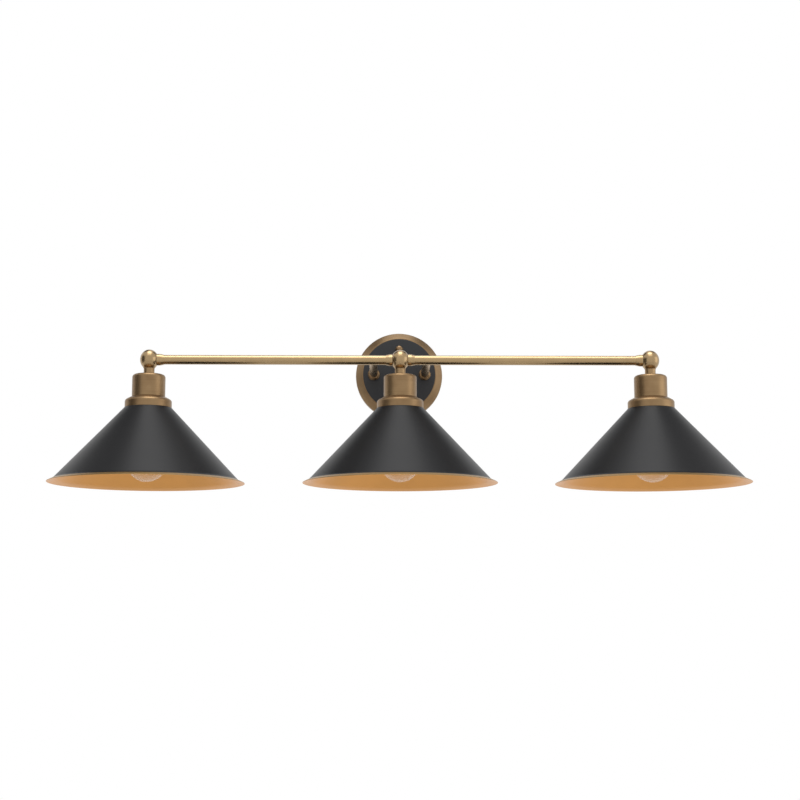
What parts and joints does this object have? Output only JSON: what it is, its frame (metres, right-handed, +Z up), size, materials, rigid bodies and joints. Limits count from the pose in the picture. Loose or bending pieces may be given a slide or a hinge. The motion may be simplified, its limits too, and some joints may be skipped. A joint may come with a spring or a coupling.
{
  "type": "wall sconce",
  "caption": "Wall sconce with wide conical shades hanging from ball knuckles on a straight brass bar, which stands off a round wall canopy on short arms.",
  "frame": {"origin": "middle of the canopy on the wall plane", "axes": "+Z up, +Y into the wall, +X to the right along the bar, seen from the room"},
  "size_m": [0.9, 0.265, 0.22],
  "materials": {
    "antique_brass": "brushed and darkened",
    "polished_brass": "polished",
    "black_enamel": "satin black",
    "shade_enamel": "satin black outside, gold inside",
    "zinc_steel": "zinc plated",
    "green_steel": "green plated",
    "lead_sleeve": "matt sleeve",
    "connector_plastic": "moulded",
    "glazed_porcelain": "glazed white",
    "thread_metal": "rolled sheet",
    "contact_brass": "stamped",
    "ring_plastic": "moulded black",
    "clear_glass": "clear"
  },
  "bodies": {
    "wall_frame": {"canopy_pan": "antique_brass", "face_disc": "black_enamel", "crossbar": "zinc_steel", "canopy_studs": "zinc_steel", "cap_nuts": "polished_brass", "ground_screw": "green_steel", "arm_nuts": "zinc_steel", "wire_connectors": "connector_plastic", "left_arm": "polished_brass", "right_arm": "polished_brass", "arm_flanges": "polished_brass", "left_bar": "polished_brass", "right_bar": "polished_brass", "left_lamp_leads": "lead_sleeve", "centre_lamp_leads": "lead_sleeve", "right_lamp_leads": "lead_sleeve", "ferrules": "polished_brass", "pivot_nipples": "polished_brass"},
    "left_head": {"left_ball": "polished_brass", "left_neck": "antique_brass", "left_lock_nut": "zinc_steel", "left_cup": "antique_brass", "left_collar": "antique_brass", "left_shade": "shade_enamel", "left_socket_body": "glazed_porcelain", "left_socket_shell": "thread_metal", "left_socket_contact": "contact_brass", "left_shade_ring": "ring_plastic", "left_socket_leads": "lead_sleeve"},
    "left_bulb": {"left_bulb_glass": "clear_glass", "left_bulb_base": "thread_metal", "left_bulb_stem": "clear_glass"},
    "centre_head": {"centre_ball": "polished_brass", "centre_neck": "antique_brass", "centre_lock_nut": "zinc_steel", "centre_cup": "antique_brass", "centre_collar": "antique_brass", "centre_shade": "shade_enamel", "centre_socket_body": "glazed_porcelain", "centre_socket_shell": "thread_metal", "centre_socket_contact": "contact_brass", "centre_shade_ring": "ring_plastic", "centre_socket_leads": "lead_sleeve"},
    "centre_bulb": {"centre_bulb_glass": "clear_glass", "centre_bulb_base": "thread_metal", "centre_bulb_stem": "clear_glass"},
    "right_head": {"right_ball": "polished_brass", "right_neck": "antique_brass", "right_lock_nut": "zinc_steel", "right_cup": "antique_brass", "right_collar": "antique_brass", "right_shade": "shade_enamel", "right_socket_body": "glazed_porcelain", "right_socket_shell": "thread_metal", "right_socket_contact": "contact_brass", "right_shade_ring": "ring_plastic", "right_socket_leads": "lead_sleeve"},
    "right_bulb": {"right_bulb_glass": "clear_glass", "right_bulb_base": "thread_metal", "right_bulb_stem": "clear_glass"}
  },
  "joints": [
    {"name": "left_tilt", "type": "hinge", "parent": "wall_frame", "child": "left_head", "pos_m": [-0.325, -0.14, 0], "axis": [-1, 0, 0], "range_deg": [-4, 90]},
    {"name": "left_bulb_turn", "type": "hinge", "parent": "left_head", "child": "left_bulb", "pos_m": [-0.325, -0.14, -0.065], "axis": [0, 0, -1], "range_deg": [0, 360]},
    {"name": "centre_tilt", "type": "hinge", "parent": "wall_frame", "child": "centre_head", "pos_m": [0, -0.14, 0], "axis": [-1, 0, 0], "range_deg": [-4, 90]},
    {"name": "centre_bulb_turn", "type": "hinge", "parent": "centre_head", "child": "centre_bulb", "pos_m": [0, -0.14, -0.065], "axis": [0, 0, -1], "range_deg": [0, 360]},
    {"name": "right_tilt", "type": "hinge", "parent": "wall_frame", "child": "right_head", "pos_m": [0.325, -0.14, 0], "axis": [-1, 0, 0], "range_deg": [-4, 90]},
    {"name": "right_bulb_turn", "type": "hinge", "parent": "right_head", "child": "right_bulb", "pos_m": [0.325, -0.14, -0.065], "axis": [0, 0, -1], "range_deg": [0, 360]}
  ]
}
